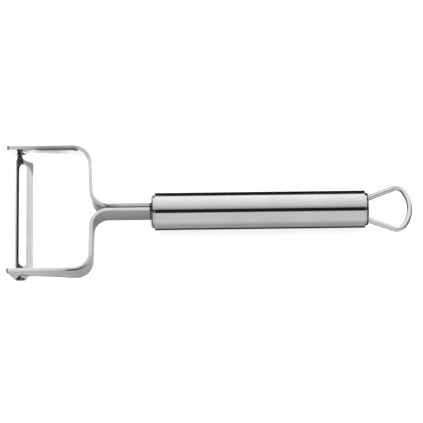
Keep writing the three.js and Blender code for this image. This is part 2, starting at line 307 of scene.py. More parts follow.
def socket_id(tree, name):
    """The identifier of a node tree's input, from its name."""
    for item in tree.interface.items_tree:
        if item.name == name and item.in_out == "INPUT":
            return item.identifier
    raise KeyError(name)


def even_normals(name, mesh):
    """The mesh with its flat faces shaded flat and its rounded edges shaded round."""
    mesh.shade_smooth()
    return settled(name, mesh, ("WEIGHTED_NORMAL", {"mode": "FACE_AREA", "weight": 50, "keep_sharp": True}))


def add_piece(name, mesh, node, body, material):
    """Adds a finished mesh as the piece that stands for a CAD node."""
    mesh.materials.clear()
    mesh.materials.append(material)
    piece = bpy.data.objects.new(name, mesh)
    bpy.context.scene.collection.objects.link(piece)
    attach(piece, body)
    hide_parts(node)


def turned_mesh(name, profile, closed):
    """A profile of (radius, place along X) turned about the handle's axis. A closed one makes a ring."""
    points, rings = [], []
    for radius, along in profile:
        start = len(points)
        if radius < TINY:
            points.append((along, 0.0, 0.0))
            rings.append([start] * TURN_SEGMENTS)
            continue
        for i in range(TURN_SEGMENTS):
            angle = 2 * math.pi * i / TURN_SEGMENTS
            points.append((along, radius * math.cos(angle), radius * math.sin(angle)))
        rings.append(list(range(start, start + TURN_SEGMENTS)))
    pairs = list(zip(rings, rings[1:]))
    if closed:
        pairs.append((rings[-1], rings[0]))
    faces = []
    for first, second in pairs:
        for i in range(TURN_SEGMENTS):
            j = (i + 1) % TURN_SEGMENTS
            corners = [first[i], first[j], second[j], second[i]]
            faces.append(list(dict.fromkeys(corners)))
    mesh = new_mesh(name, in_row(points), faces)
    tidy_mesh(mesh, WELD)
    return mesh


def arc(centre, radius, start, end, step=BEND_STEP):
    """Points on an arc in a plane, in order."""
    count = max(2, math.ceil(abs(end - start) / step))
    angles = np.linspace(start, end, count + 1)
    return [(centre[0] + radius * math.cos(a), centre[1] + radius * math.sin(a)) for a in angles]


def rounded_outline(corners, steps=6):
    """A closed outline through corners (x, y, rounding), with a curve at each rounded corner."""
    outline = []
    for i, (x, y, rounding) in enumerate(corners):
        here = np.array([x, y])
        if rounding == 0:
            outline.append((x, y))
            continue
        ends = []
        for other in (corners[i - 1], corners[(i + 1) % len(corners)]):
            towards = np.array(other[:2]) - here
            ends.append(here + towards * (rounding / np.linalg.norm(towards)))
        for t in np.linspace(0, 1, steps + 1):
            outline.append(tuple((1 - t) ** 2 * ends[0] + 2 * t * (1 - t) * here + t ** 2 * ends[1]))
    return outline


def blank_mesh(name, outlines, thickness, edge):
    """A flat sheet with rounded edges, cut to outlines in millimetres. Those after the first are holes."""
    curve = bpy.data.curves.new(name, "CURVE")
    curve.dimensions = "2D"
    curve.fill_mode = "BOTH"
    curve.extrude = thickness / 2 - edge
    curve.bevel_depth = edge
    curve.bevel_resolution = 2
    curve.offset = -edge
    for outline in outlines:
        spline = curve.splines.new("POLY")
        spline.points.add(len(outline) - 1)
        for point, (x, y) in zip(spline.points, outline):
            point.co = (x, y, 0, 1)
        spline.use_cyclic_u = True
    mesh = settled(name, curve)
    tidy_mesh(mesh, BLANK_WELD)
    return mesh


def cut_across(mesh, axis, places):
    """Cuts the mesh's faces with planes across an axis, so that it can be bent there."""
    work = bmesh.new()
    work.from_mesh(mesh)
    normal = [0.0, 0.0, 0.0]
    normal[axis] = 1.0
    for place in places:
        point = [0.0, 0.0, 0.0]
        point[axis] = place
        everything = [*work.verts, *work.edges, *work.faces]
        bmesh.ops.bisect_plane(work, geom=everything, dist=CUT_WELD, plane_co=point, plane_no=normal)
    work.to_mesh(mesh)
    work.free()


def mesh_points(mesh):
    points = np.empty(len(mesh.vertices) * 3)
    mesh.vertices.foreach_get("co", points)
    return points.reshape(-1, 3)


def set_points(mesh, points):
    mesh.vertices.foreach_set("co", np.asarray(points, float).ravel())
    mesh.update()


def keep_flat_map(mesh):
    """Keeps the flat sheet's coordinates, in metres, as a UV map, so that a pattern follows the bends."""
    layer = mesh.uv_layers.new(name="Blank")
    points = mesh_points(mesh)
    for loop in mesh.loops:
        layer.data[loop.index].uv = points[loop.vertex_index][:2] * MM


# Node helpers

def set_inputs(node, inputs):
    """Sets a node's inputs from {name or number: value}. An output socket is linked."""
    for key, value in inputs.items():
        if isinstance(value, bpy.types.NodeSocket):
            node.id_data.links.new(value, node.inputs[key])
        else:
            node.inputs[key].default_value = value


def add_node(tree, kind, inputs=None, **settings):
    """Adds a node with its settings and inputs to a tree."""
    node = tree.nodes.new(kind)
    for key, value in settings.items():
        setattr(node, key, value)
    set_inputs(node, inputs or {})
    return node


def joined(tree, operation, *values):
    """Sockets and numbers put through one math operation, as an output socket."""
    return add_node(tree, "ShaderNodeMath", dict(enumerate(values)), operation=operation).outputs[0]


def joined_vectors(tree, operation, *values):
    """Sockets and vectors put through one vector operation, as an output socket."""
    return add_node(tree, "ShaderNodeVectorMath", dict(enumerate(values)), operation=operation).outputs[0]


def scaled(tree, vector, scale):
    """A vector socket times a value, as an output socket."""
    inputs = {"Vector": vector, "Scale": scale}
    return add_node(tree, "ShaderNodeVectorMath", inputs, operation="SCALE").outputs[0]


def smooth_range(tree, value, start_end, low_high=(0.0, 1.0)):
    """A value mapped smoothly from one range to another, as an output socket."""
    inputs = {
        "Value": value, "From Min": start_end[0], "From Max": start_end[1],
        "To Min": low_high[0], "To Max": low_high[1],
    }
    return add_node(tree, "ShaderNodeMapRange", inputs, interpolation_type="SMOOTHSTEP").outputs["Result"]


def mixed(tree, factor, first, second):
    """A colour between two others, as an output socket."""
    inputs = {"Factor": factor, "A": first, "B": second}
    return add_node(tree, "ShaderNodeMix", inputs, data_type="RGBA").outputs["Result"]


def object_coordinates(tree):
    return add_node(tree, "ShaderNodeTexCoord").outputs["Object"]


def blank_coordinates(tree):
    return add_node(tree, "ShaderNodeUVMap", uv_map="Blank").outputs["UV"]


def new_material(name):
    """A material and its node tree."""
    material = bpy.data.materials.new(name)
    material.use_nodes = True
    return material, material.node_tree


# Node trees that shape pieces

def new_shape_tree(name, inputs):
    """A geometry node tree with named inputs (name, socket type), and its group nodes."""
    tree = bpy.data.node_groups.new(name, "GeometryNodeTree")
    tree.interface.new_socket("Geometry", in_out="INPUT", socket_type="NodeSocketGeometry")
    for label, kind in inputs:
        tree.interface.new_socket(label, in_out="INPUT", socket_type=kind)
    tree.interface.new_socket("Geometry", in_out="OUTPUT", socket_type="NodeSocketGeometry")
    return tree, add_node(tree, "NodeGroupInput").outputs, add_node(tree, "NodeGroupOutput")


def end_shape_tree(tree, given, group_out, geometry):
    """Ends a tree in Realize Instances and Set Material."""
    realize = add_node(tree, "GeometryNodeRealizeInstances", {"Geometry": geometry})
    finish = {"Geometry": realize.outputs["Geometry"], "Material": given["Material"]}
    finished = add_node(tree, "GeometryNodeSetMaterial", finish)
    set_inputs(group_out, {"Geometry": finished.outputs["Geometry"]})


def bend_tree():
    """Bends a flat blank along a path: x runs along it, y is height, and z is across the strip."""
    tree, given, group_out = new_shape_tree(
        "bend_along_path", [("Path", "NodeSocketObject"), ("Material", "NodeSocketMaterial")])
    path = add_node(tree, "GeometryNodeObjectInfo", {"Object": given["Path"]}).outputs["Geometry"]
    position = add_node(tree, "GeometryNodeInputPosition").outputs["Position"]
    blank = add_node(tree, "ShaderNodeSeparateXYZ", {0: position}).outputs
    on_path = {"Curves": path, "Length": blank["X"]}
    sample = add_node(tree, "GeometryNodeSampleCurve", on_path, mode="LENGTH").outputs
    across = joined_vectors(tree, "CROSS_PRODUCT", sample["Tangent"], (0, 0, 1))
    offset = scaled(tree, joined_vectors(tree, "NORMALIZE", across), blank["Z"])
    height = add_node(tree, "ShaderNodeCombineXYZ", {"Z": blank["Y"]}).outputs[0]
    raised = joined_vectors(tree, "ADD", sample["Position"], height)
    place = joined_vectors(tree, "ADD", raised, offset)
    bent = add_node(tree, "GeometryNodeSetPosition", {"Geometry": given["Geometry"], "Position": place})
    end_shape_tree(tree, given, group_out, bent.outputs["Geometry"])
    return tree


def wire_tree():
    """Sweeps a round wire along a curve and closes its ends."""
    tree, given, group_out = new_shape_tree("round_wire", [
        ("Wire Radius", "NodeSocketFloat"), ("Sides", "NodeSocketInt"), ("Material", "NodeSocketMaterial"),
    ])
    circle = {"Radius": given["Wire Radius"], "Resolution": given["Sides"]}
    section = add_node(tree, "GeometryNodeCurvePrimitiveCircle", circle).outputs["Curve"]
    along = {"Curve": given["Geometry"], "Profile Curve": section, "Fill Caps": True}
    swept = add_node(tree, "GeometryNodeCurveToMesh", along)
    end_shape_tree(tree, given, group_out, swept.outputs["Mesh"])
    return tree


def path_curve(name, points):
    """An open curve through points in metres."""
    curve = bpy.data.curves.new(name, "CURVE")
    curve.dimensions = "3D"
    spline = curve.splines.new("POLY")
    spline.points.add(len(points) - 1)
    for point, place in zip(spline.points, points):
        point.co = (*place, 1)
    return curve


# Shader effects that several finishes share

def new_effect(name, inputs, output):
    """A shader node group with named inputs (name, type, value) and one named value as its output."""
    group = bpy.data.node_groups.new(name, "ShaderNodeTree")
    for label, kind, value in inputs:
        socket = group.interface.new_socket(label, in_out="INPUT", socket_type=kind)
        if value is not None:
            socket.default_value = value
    group.interface.new_socket(output, in_out="OUTPUT", socket_type="NodeSocketFloat")
    return group, add_node(group, "NodeGroupInput").outputs, add_node(group, "NodeGroupOutput")


def polish_lines_effect():
    """Fine lines left by polishing: noise stretched along one direction of the given coordinates."""
    inputs = [("Vector", "NodeSocketVector", None), ("Density", "NodeSocketVector", (1, 1, 1))]
    group, given, group_out = new_effect("polish_lines", inputs, "Lines")
    stretched = joined_vectors(group, "MULTIPLY", given["Vector"], given["Density"])
    grain = {"Vector": stretched, "Scale": 1.0, "Detail": 3.0, "Roughness": 0.6}
    fine = add_node(group, "ShaderNodeTexNoise", grain)
    set_inputs(group_out, {"Lines": fine.outputs["Fac"]})
    return group


def handling_haze_effect():
    """Soft patches that handling and wiping leave on polished steel, from 0 to 1."""
    inputs = [("Vector", "NodeSocketVector", None), ("Patches", "NodeSocketFloat", 120.0)]
    group, given, group_out = new_effect("handling_haze", inputs, "Haze")
    patches = {"Vector": given["Vector"], "Scale": given["Patches"], "Detail": 4.0, "Distortion": 0.6}
    broad = add_node(group, "ShaderNodeTexNoise", patches)
    set_inputs(group_out, {"Haze": smooth_range(group, broad.outputs["Fac"], (0.35, 0.7))})
    return group


def effect(tree, name, inputs):
    """A shared effect placed in a material, as its output socket."""
    return add_node(tree, "ShaderNodeGroup", inputs, node_tree=EFFECTS[name]).outputs[0]


# Finishes

def steel(name, coordinates, tones, roughness, density, line_depth, patches):
    """A polished steel: tones and roughness are (clean, hazed), density is the lines' frequency."""
    material, tree = new_material(name)
    vector = coordinates(tree)
    lines = effect(tree, "lines", {"Vector": vector, "Density": density})
    haze = effect(tree, "haze", {"Vector": vector, "Patches": patches})
    clean, hazed = roughness
    worn = {"Value": joined(tree, "MULTIPLY", haze, lines), "To Min": clean, "To Max": hazed}
    bump = {"Height": lines, "Strength": 1.0, "Distance": line_depth}
    set_inputs(tree.nodes["Principled BSDF"], {
        "Metallic": 1.0,
        "Base Color": mixed(tree, haze, (*tones[0], 1), (*tones[1], 1)),
        "Roughness": add_node(tree, "ShaderNodeMapRange", worn).outputs["Result"],
        "Normal": add_node(tree, "ShaderNodeBump", bump).outputs["Normal"],
    })
    return material


def core_plastic():
    """Dark moulded plastic with a fine sparked grain."""
    material, tree = new_material("core_plastic")
    noise = {"Vector": object_coordinates(tree), "Scale": 2500.0}
    grain = add_node(tree, "ShaderNodeTexNoise", noise).outputs["Fac"]
    tone = add_node(tree, "ShaderNodeValToRGB", {"Fac": grain})
    tone.color_ramp.elements[0].color = (0.05, 0.053, 0.056, 1)
    tone.color_ramp.elements[1].color = (0.085, 0.088, 0.092, 1)
    gloss = add_node(tree, "ShaderNodeMapRange", {"Value": grain, "To Min": 0.55, "To Max": 0.75})
    bump = add_node(tree, "ShaderNodeBump", {"Height": grain, "Distance": 0.00005})
    set_inputs(tree.nodes["Principled BSDF"], {
        "Base Color": tone.outputs["Color"],
        "Roughness": gloss.outputs["Result"],
        "Normal": bump.outputs["Normal"],
    })
    return material


def place_along(tree, coordinates, direction):
    """A place along one direction of a piece's coordinates, in millimetres, as an output socket."""
    parts = add_node(tree, "ShaderNodeSeparateXYZ", {0: coordinates(tree)}).outputs
    return joined(tree, "DIVIDE", parts[direction], MM)


def window(tree, place, start, end, easing):
    """1 between two places and 0 outside them, with soft borders, as an output socket."""
    rise = smooth_range(tree, place, (start - easing, start + easing))
    fall = smooth_range(tree, place, (end - easing, end + easing), (1.0, 0.0))
    return joined(tree, "MULTIPLY", rise, fall)


def paint_shade(tree, mask, tone):
    """Paints shade onto a steel: its colour goes towards a tone where a mask is 1."""
    shader = tree.nodes["Principled BSDF"]
    before = shader.inputs["Base Color"].links[0].from_socket
    set_inputs(shader, {"Base Color": mixed(tree, mask, before, (*tone, 1))})


def paint_cap_reflections(tree):
    """Painted reflections: a grey line on the front cap's bevelled edge and a dark line on the rear cap's."""
    along = place_along(tree, object_coordinates, "X")
    front = ORIGIN[0] / MM
    rear = front + TUBE_LENGTH
    inner, outer = CAP_COLLAR, CAP_COLLAR + CAP_EDGE
    paint_shade(tree, window(tree, along, front - outer, front - inner, FINE_EASING), PAINTED_GREY)
    paint_shade(tree, window(tree, along, rear + inner, rear + outer, FINE_EASING), PAINTED_DARK)


def paint_strip_shade(tree):
    """Painted shade on a strip: a dark line where it enters the cap, a dark tip, and a dark painted
    reflection on the crease above the ear.
    """
    along = place_along(tree, blank_coordinates, "X")
    height = place_along(tree, blank_coordinates, "Y")
    reach = path_lengths(strip_path(1))[-1]
    pivot = reach - PIVOT_FROM_TIP
    start, end = (TANG_LENGTH + place for place in ENTRY_LINE)
    paint_shade(tree, window(tree, along, start, end, ENTRY_EASING), PAINTED_DARK)
    paint_shade(tree, smooth_range(tree, along, [reach - place for place in TIP_LINE]), PAINTED_DARK)
    crease = joined(tree, "MULTIPLY_ADD", along, -CREASE_SLOPE, height)
    level = STRIP_TOP - CREASE_DEPTH - CREASE_SLOPE * pivot
    line = window(tree, crease, level - CREASE_HALF, level + CREASE_HALF, CREASE_EASING)
    start, end = (pivot - place for place in CREASE_STRETCH)
    stretch = window(tree, along, start, end, STRETCH_EASING)
    paint_shade(tree, joined(tree, "MULTIPLY", line, stretch), PAINTED_DARK)


def paint_blade_shade(tree):
    """Painted reflection on the blade's lip along the slot, and painted shade on its necks and trunnions."""
    across = place_along(tree, blank_coordinates, "X")
    end = joined(tree, "ABSOLUTE", place_along(tree, blank_coordinates, "Y"))
    lip = window(tree, across, -LIP_WIDTH - LIP_MARGIN, SLOT_WIDTH / 2, FINE_EASING)
    paint_shade(tree, lip, PAINTED_DARK)
    neck = window(tree, across, *NECK_SPAN, NECK_EASING)
    folding = smooth_range(tree, end, (FOLD_START + NECK_START, BLADE_HALF))
    tab = smooth_range(tree, end, (BLADE_HALF, BLADE_HALF + NECK_EASING))
    fold = joined(tree, "MULTIPLY", neck, folding)
    paint_shade(tree, joined(tree, "MAXIMUM", fold, tab), PAINTED_DARK)


# Pieces

def dome_height(radius):
    """How far a cap stands out of the tube at a radius."""
    return CAP_DOME * (1 - (radius / CAP_FIT) ** DOME_POWER)


def make_tube(material):
    """The handle: a tube with rounded outer edges."""
    edge = TUBE_EDGE
    step = math.radians(15)
    front = arc((TUBE_RADIUS - edge, edge), edge, -math.pi / 2, 0, step)
    rear = arc((TUBE_RADIUS - edge, TUBE_LENGTH - edge), edge, 0, math.pi / 2, step)
    profile = [(TUBE_BORE, 0.0), *front, *rear, (TUBE_BORE, TUBE_LENGTH)]
    mesh = turned_mesh("handle_tube_polished", profile, closed=True)
    smooth(mesh, angle=40)
    mesh = even_normals("handle_tube_polished", mesh)
    add_piece("handle_tube_polished", mesh, "handle_tube", BODY, material)


def plug_profile():
    """A cap's profile of (radius, height above the tube's end): plug, collar, bevelled edge, dome."""
    rim, shoulder = CAP_FIT - CAP_EDGE, CAP_COLLAR + CAP_EDGE
    radii = [rim * (1 - i / DOME_STEPS) for i in range(DOME_STEPS)]
    crown = [(radius, CAP_DOME - (CAP_DOME - shoulder) * (radius / rim) ** 2) for radius in radii]
    return [(0.0, -CAP_SPIGOT), (CAP_FIT, -CAP_SPIGOT), (CAP_FIT, CAP_COLLAR), *crown, (0.0, CAP_DOME)]


def cutter_object(name, points, faces):
    """A helper object that is cut out of a cap and then removed."""
    mesh = new_mesh(name, in_row(points), faces)
    tidy_mesh(mesh, WELD)
    cutter = bpy.data.objects.new(name, mesh)
    bpy.context.scene.collection.objects.link(cutter)
    return cutter


def tang_slot_cutter():
    """The slot in the front cap that both tangs pass through."""
    half = STRIP_GAP / 2 + STRIP_THICKNESS + SLOT_CLEARANCE
    low, high = STRIP_BOTTOM - SLOT_CLEARANCE, STRIP_TOP + SLOT_CLEARANCE
    ends = (-2 * CAP_DOME, 2 * CAP_SPIGOT)
    points = [(x, y, z) for x in ends for y, z in ((-half, low), (half, low), (half, high), (-half, high))]
    sides = [[i, (i + 1) % 4, (i + 1) % 4 + 4, i + 4] for i in range(4)]
    return cutter_object("tang_slot", points, [[3, 2, 1, 0], [4, 5, 6, 7], *sides])


def leg_point(along, side):
    """A place on the middle line of a loop's leg."""
    face = TUBE_LENGTH + dome_height(LEG_OFFSET)
    return (along, side * (LEG_OFFSET + (along - face) * math.tan(LEG_SPLAY)), 0.0)


def wire_hole_cutters():
    """The two slanted holes in the rear cap that take the loop's legs."""
    cutters = []
    radius, count = WIRE_RADIUS + WIRE_CLEARANCE, WIRE_HOLE_SIDES
    for side in (1, -1):
        points = []
        for along in (TUBE_LENGTH - 2 * CAP_SPIGOT, TUBE_LENGTH + 2 * CAP_SPIGOT):
            middle = leg_point(along, side)
            across = Vector((-side * math.sin(LEG_SPLAY), math.cos(LEG_SPLAY), 0.0))
            for i in range(count):
                angle = 2 * math.pi * i / count
                swing = across * (radius * math.cos(angle)) + Vector((0, 0, radius * math.sin(angle)))
                points.append(tuple(Vector(middle) + swing))
        sides = [[i, (i + 1) % count, (i + 1) % count + count, i + count] for i in range(count)]
        ends = [list(range(count))[::-1], list(range(count, 2 * count))]
        cutters.append(cutter_object("wire_hole", points, [*sides, *ends]))
    return cutters


def make_cap(name, node, place, direction, cutters, material):
    """A domed cap at one end of the tube, cut for what passes through it."""
    profile = [(radius, place + direction * height) for radius, height in plug_profile()]
    mesh = turned_mesh(name, profile, closed=False)
    cut = {"operation": "DIFFERENCE", "solver": "EXACT"}
    mesh = settled(name, mesh, *[("BOOLEAN", {**cut, "object": cutter}) for cutter in cutters])
    for cutter in cutters:
        bpy.data.objects.remove(cutter)
    smooth(mesh, angle=32)
    add_piece(name, mesh, node, BODY, material)


def strip_path(side):
    """A strip's middle line from the tang's end to the tip, in millimetres."""
    stem_centre = (STEM_END, TANG_MIDDLE + STEM_BEND)
    corner_centre = (ARM_START, ARM_MIDDLE - CORNER_BEND)
    step = math.radians(1)
    line = [
        (TANG_LENGTH, TANG_MIDDLE),
        *arc(stem_centre, STEM_BEND, -math.pi / 2, -math.pi + LEG_LEAN, step),
        *arc(corner_centre, CORNER_BEND, LEG_LEAN, math.pi / 2, step),
        (TIP, ARM_MIDDLE),
    ]
    return np.array([(x, side * y, 0.0) for x, y in line])


def path_lengths(path):
    """The length along a path at each of its points."""
    return np.concatenate([[0], np.cumsum(np.linalg.norm(np.diff(path, axis=0), axis=1))])


def ear_outline():
    """A strip's edges seen from the side: lower edge from the tang to the ear, tip, upper edge."""
    leg_rear = STEM_END - STEM_BEND + STRIP_THICKNESS
    easing = (leg_rear - ARM_START) / 2
    foot = STRIP_TOP - EAR_DEPTH
    return rounded_outline([
        (TANG_LENGTH, STRIP_BOTTOM, 0),
        (leg_rear, STRIP_BOTTOM, easing),
        (ARM_START, STRIP_TOP - ARM_DEPTH, easing),
        (PIVOT[0] + NECK_FROM_PIVOT, STRIP_TOP - NECK_DEPTH, EAR_CORNER),
        (PIVOT[0] + EAR_FOOT / 2, foot, EAR_CORNER),
        (PIVOT[0] - EAR_FOOT / 2, foot, EAR_CORNER),
        (TIP, STRIP_TOP - TIP_DEPTH, EAR_CORNER),
        (TIP, STRIP_TOP, 0),
        (TANG_LENGTH, STRIP_TOP, 0),
    ])


def pivot_hole(place, level):
    """The fan-shaped hole in an ear, which lets the trunnion swing between its stops."""
    spread = FOLD_ANGLE + SWING + STOP_CLEARANCE
    radius = BLADE_DEPTH / math.cos(FOLD_ANGLE) + 2 * PIVOT_CLEARANCE
    down = -math.pi / 2
    foot = arc((place, level), radius, down - spread, down + spread, step=math.radians(6))
    return [(place, level + HOLE_RISE), *foot]


def strip_blank(side):
    """A strip before bending: x runs along its middle line from the tang's end, y is height."""
    path = strip_path(1)
    lengths = path_lengths(path)
    reach = lengths[-1]
    side_view = ear_outline()
    lower = np.array(side_view[:-2])
    order = np.argsort(lower[:, 0])
    curved = [
        (length, np.interp(place[0], lower[order, 0], lower[order, 1]))
        for length, place in zip(lengths[1:-1], path[1:-1])
    ]
    arm = [(reach - (x - TIP), z) for x, z in side_view if x < ARM_START - TINY and z < STRIP_TOP]
    outline = [(0.0, STRIP_BOTTOM), *curved, *arm, (reach, STRIP_TOP), (0.0, STRIP_TOP)]
    hole = pivot_hole(reach - PIVOT_FROM_TIP, PIVOT[2] + PIVOT_CLEARANCE)
    mesh = blank_mesh("strip_blank", [outline, hole], STRIP_THICKNESS, STRIP_EDGE)
    throat = lengths[1] - even_cuts(0, THROAT_START)
    fade = lengths[-2] + even_cuts(0, CORNER_FADE)
    flare = reach - even_cuts(FLARE_START, FLARE_END)
    cut_across(mesh, 0, [*lengths[1:-1:2], *throat, *fade, *flare])
    cut_across(mesh, 2, np.linspace(-0.5, 0.5, CUTS_ACROSS) * (STRIP_THICKNESS - 2 * STRIP_EDGE))
    keep_flat_map(mesh)
    set_points(mesh, rolled_and_splayed(mesh_points(mesh), lengths, side) * MM)
    return mesh


def edge_fall(distance, slopes):
    """How far a rolled edge falls at a distance across the strip, from its first slope to its last."""
    first, last = slopes
    return first * distance + (last - first) * distance ** 2 / (2 * STRIP_THICKNESS)


def edge_slopes(along, lengths, side):
    """The rolled edge's first and last slope along a strip, given for its stem, throat, arm and ear."""
    bend, arm_start, tip = lengths[1], lengths[-2], lengths[-1]
    stations = [bend - THROAT_START, bend + THROAT_END, arm_start, tip - FLARE_START, tip - FLARE_END]
    stem, throat, arm, ear = EDGE_SLOPES[side]
    return [np.interp(along, stations, values) for values in zip(stem, throat, arm, arm, ear)]


def rolled_and_splayed(points, lengths, side):
    """A blank with its upper edge rolled over, and twisted so that the yoke and the ear splay.

    The edge falls away towards the inner face, and the right strip's towards the outer face at its corner.
    """
    along, height, across = points.T
    corner_end = lengths[-2]
    corner_start = corner_end - CORNER_BEND * (math.pi / 2 - LEG_LEAN)
    outwards = np.zeros(len(along))
    if side < 0:
        fade = 1 - step_up(along, corner_end, corner_end + CORNER_FADE)
        outwards = step_up(along, corner_start, corner_start + CORNER_EASE) * fade
    from_outer = STRIP_THICKNESS / 2 - side * across
    from_inner = STRIP_THICKNESS - from_outer
    inwards = edge_fall(from_outer, edge_slopes(along, lengths, side))
    fall = (1 - outwards) * inwards + outwards * edge_fall(from_inner, CORNER_SLOPES)
    down = height - np.where(height > STRIP_TOP - EDGE_ZONE, fall, 0.0) - STRIP_TOP
    yoke = step_up(along, lengths[1], lengths[1] + STEM_BEND * (math.pi / 2 - LEG_LEAN))
    ear = step_up(along, lengths[-1] - FLARE_START, lengths[-1] - FLARE_END)
    twist = -side * (YOKE_SPLAY * yoke + EAR_FLARE * ear)
    across = across + side * STEM_RELIEF * (1 - yoke) * from_outer / STRIP_THICKNESS
    return np.column_stack([
        along,
        STRIP_TOP + down * np.cos(twist) - across * np.sin(twist),
        across * np.cos(twist) + down * np.sin(twist),
    ])


def make_strip(name, node, side, material):
    """A strip: a flat blank bent along its path."""
    path = bpy.data.objects.new(name + "_path", path_curve(name + "_path", in_row(strip_path(side))))
    bpy.context.scene.collection.objects.link(path)
    settings = {"node_group": TREES["bend"], "Path": path, "Material": material}
    mesh = settled(name, strip_blank(side), ("NODES", settings))
    bpy.data.objects.remove(path)
    mesh = even_normals(name, mesh)
    add_piece(name, mesh, node, BODY, material)


def blade_outline():
    """The blade's flat blank: x across from the cutting edge, y along."""
    guard_edge = SLOT_WIDTH + GUARD_WIDTH
    upper = [
        (guard_edge, BLADE_HALF, GUARD_CORNER),
        (TAB_HALF, BLADE_HALF, TAB_ROOT),
        (TAB_HALF, TRUNNION_END, TAB_CORNER),
        (-TAB_HALF, TRUNNION_END, TAB_CORNER),
        (-TAB_HALF, BLADE_HALF + TAB_STEP, 0.0),
        (-CUTTER_WIDTH - TAB_STEP, BLADE_HALF - CUTTER_CORNER, 0.0),
    ]
    lower = [(x, -y, rounding) for x, y, rounding in reversed(upper)]
    radius, step = SLOT_WIDTH / 2, math.radians(9)
    slot_end = SLOT_HALF - radius
    slot = [
        *arc((radius, slot_end), radius, 0, math.pi, step),
        *arc((radius, -slot_end), radius, math.pi, 2 * math.pi, step),
    ]
    return rounded_outline([*upper, *lower]), slot


def formed_blade(points):
    """The blade's blank after forming: arched across, cutter lip turned down, ends folded into ridges."""
    across, along, height = points.T
    end = np.abs(along)
    inward = height - BLADE_THICKNESS / 2
    middle = SLOT_WIDTH / 2
    turn = (across - middle) / ARCH_RADIUS
    arched = np.column_stack([
        middle + (ARCH_RADIUS + inward) * np.sin(turn),
        -BLADE_DROP - ARCH_RADIUS + (ARCH_RADIUS + inward) * np.cos(turn),
    ])
    lip = np.clip(across + LIP_WIDTH, 0, LIP_WIDTH) * (across < middle)
    lip *= 1 - step_up(end, *(SLOT_HALF - place for place in LIP_FADE))
    arched[:, 0] -= lip * (1 - math.cos(LIP_ANGLE)) * LIP_SHIFT
    arched[:, 1] -= lip * math.tan(LIP_ANGLE) * LIP_DROP
    side = np.where(across < 0, -1.0, 1.0)
    leg = np.abs(across)
    folded = np.column_stack([
        side * (leg * math.sin(FOLD_ANGLE) + inward * math.cos(FOLD_ANGLE)),
        -leg * math.cos(FOLD_ANGLE) + inward * math.sin(FOLD_ANGLE),
    ])
    ridge = leg < -inward / math.tan(FOLD_ANGLE)
    folded[ridge, 0] = 0.0
    folded[ridge, 1] = (inward / math.sin(FOLD_ANGLE))[ridge]
    weight = step_up(end, FOLD_START, FOLD_END)[:, None]
    section = arched * (1 - weight) + folded * weight
    return np.column_stack([section[:, 0], along, section[:, 1]])


def make_blade(material):
    """The blade: a flat blank, formed and swung about its pivot."""
    outline, slot = blade_outline()
    mesh = blank_mesh("blade_formed", [outline, slot], BLADE_THICKNESS, BLADE_EDGE)
    cut_across(mesh, 0, [*np.arange(*BLADE_CUTS), -LIP_WIDTH])
    ends = np.arange(SLOT_HALF - LIP_FADE[0] - END_CUT_STEP, FOLD_END + END_CUT_STEP, END_CUT_STEP)
    cut_across(mesh, 1, [*ends, *-ends])
    keep_flat_map(mesh)
    local = formed_blade(mesh_points(mesh))
    turned = np.column_stack([
        local[:, 0] * math.cos(SWING) + local[:, 2] * math.sin(SWING),
        local[:, 1],
        -local[:, 0] * math.sin(SWING) + local[:, 2] * math.cos(SWING),
    ])
    set_points(mesh, in_row(turned + PIVOT))
    tidy_mesh(mesh, WELD)
    mesh = even_normals("blade_formed", mesh)
    smooth(mesh, angle=35)
    add_piece("blade_formed", mesh, "blade", BLADE_BODY, material)


def loop_line():
    """The loop's middle line: leg, bend, bow, bend, leg."""
    face = TUBE_LENGTH + dome_height(LEG_OFFSET)
    drop = LOOP_BEND * (1 - math.cos(LEG_SPLAY))
    reach = (LOOP_HALF_WIDTH - drop - LEG_OFFSET) / math.tan(LEG_SPLAY)
    bend = face + reach + LOOP_BEND * math.sin(LEG_SPLAY)
    half = math.asin((LOOP_HALF_WIDTH - LOOP_BEND) / (LOOP_BOW - LOOP_BEND))
    bow = bend - (LOOP_BOW - LOOP_BEND) * math.cos(half)
    upper = LOOP_HALF_WIDTH - LOOP_BEND
    leg, step = math.pi / 2 + LEG_SPLAY, math.radians(4)
    line = [
        leg_point(TUBE_LENGTH - LEG_END, 1)[:2],
        *arc((bend, upper), LOOP_BEND, leg, half, step),
        *arc((bow, 0), LOOP_BOW, half, -half)[1:-1],
        *arc((bend, -upper), LOOP_BEND, -half, -leg, step),
        leg_point(TUBE_LENGTH - LEG_END, -1)[:2],
    ]
    return [(x, y, 0.0) for x, y in line]


def make_loop(material):
    """The hanging loop: a wire swept along its line."""
    curve = path_curve("hanging_loop_wire", in_row(loop_line()))
    sizes = {"Wire Radius": WIRE_RADIUS * MM, "Sides": WIRE_SIDES}
    settings = {"node_group": TREES["wire"], **sizes, "Material": material}
    mesh = settled("hanging_loop_wire", curve, ("NODES", settings))
    smooth(mesh, angle=40)
    add_piece("hanging_loop_wire", mesh, "hanging_loop", BODY, material)


# Studio

def add_camera():
    """The camera at the photograph's angle."""
    data = bpy.data.cameras.new("camera")
    data.sensor_width = SENSOR
    data.lens = SENSOR * CAMERA_DISTANCE / FRAME_WIDTH
    camera = bpy.data.objects.new("camera", data)
    bpy.context.scene.collection.objects.link(camera)
    back = Vector((0, -math.cos(CAMERA_ELEVATION), math.sin(CAMERA_ELEVATION)))
    camera.location = AIM + back * CAMERA_DISTANCE
    level = (-back).to_track_quat("-Z", "Y")
    camera.rotation_mode = "QUATERNION"
    camera.rotation_quaternion = level @ Quaternion((0, 0, 1), -CAMERA_ROLL)
    bpy.context.scene.camera = camera


def stage_plane(name, x_range, y_range, height, material):
    """A flat rectangle of the stage, in metres."""
    (left, right), (near, far) = x_range, y_range
    corners = [(left, near, 0), (right, near, 0), (right, far, 0), (left, far, 0)]
    mesh = new_mesh(name, corners, [[0, 1, 2, 3]])
    mesh.materials.append(material)
    plane = bpy.data.objects.new(name, mesh)
    plane.location.z = height
    bpy.context.scene.collection.objects.link(plane)
    return plane


